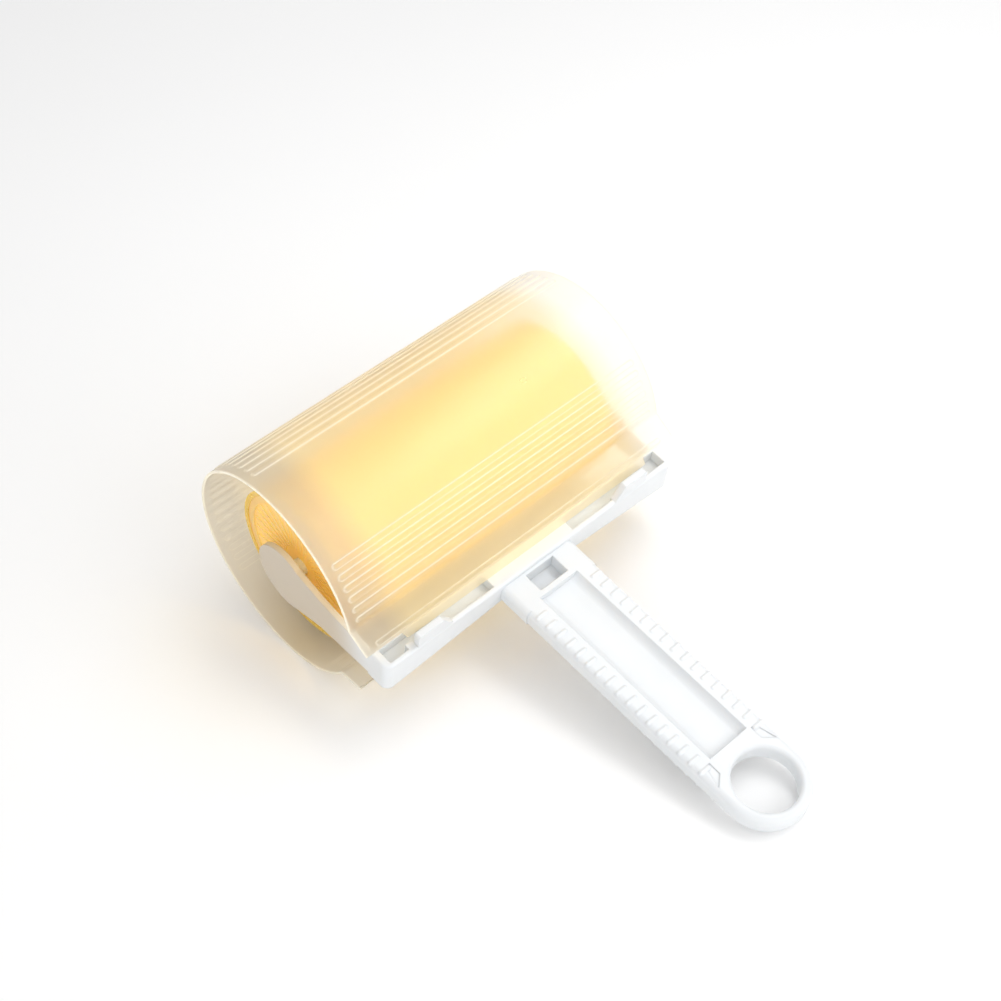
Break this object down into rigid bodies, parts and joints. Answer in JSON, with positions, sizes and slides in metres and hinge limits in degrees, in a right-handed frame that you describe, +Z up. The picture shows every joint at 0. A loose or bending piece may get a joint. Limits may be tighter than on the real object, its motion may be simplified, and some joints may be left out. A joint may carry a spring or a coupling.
{
  "type": "lint roller",
  "caption": "Washable sticky lint roller: a gel-coated drum spins in a flat handle's yoke under a frosted clip-on cover.",
  "frame": {"origin": "centre of the bounding box at the surface that the roller lies on: the cover's round back and the end of the handle's ring both rest on it", "axes": "+X along the drum's axle, -Y towards the handle's hanging ring, +Z up from the surface"},
  "size_m": [0.112, 0.1676, 0.0641],
  "materials": {
    "white_plastic": "moulded white polypropylene, satin gloss",
    "frosted_cover": "translucent frosted polypropylene sheet with embossed ribs",
    "sticky_gel": "tacky soft gel, glossy, warm yellow",
    "amber_plastic": "moulded translucent orange-yellow plastic"
  },
  "bodies": {
    "frame": {"handle_frame": "white_plastic"},
    "roller": {"gel_sleeve": "sticky_gel", "roller_core": "amber_plastic", "left_end_cap": "amber_plastic", "right_end_cap": "amber_plastic"},
    "cover": {"cover": "frosted_cover"}
  },
  "joints": [
    {"name": "roller_spin", "type": "hinge", "parent": "frame", "child": "roller", "pos_m": [0, 0.05336, 0.02677], "axis": [1, 0, 0], "continuous": true},
    {"name": "cover_slide", "type": "slide", "parent": "frame", "child": "cover", "axis": [1, 0, 0], "range_m": [0, 0.12]}
  ]
}
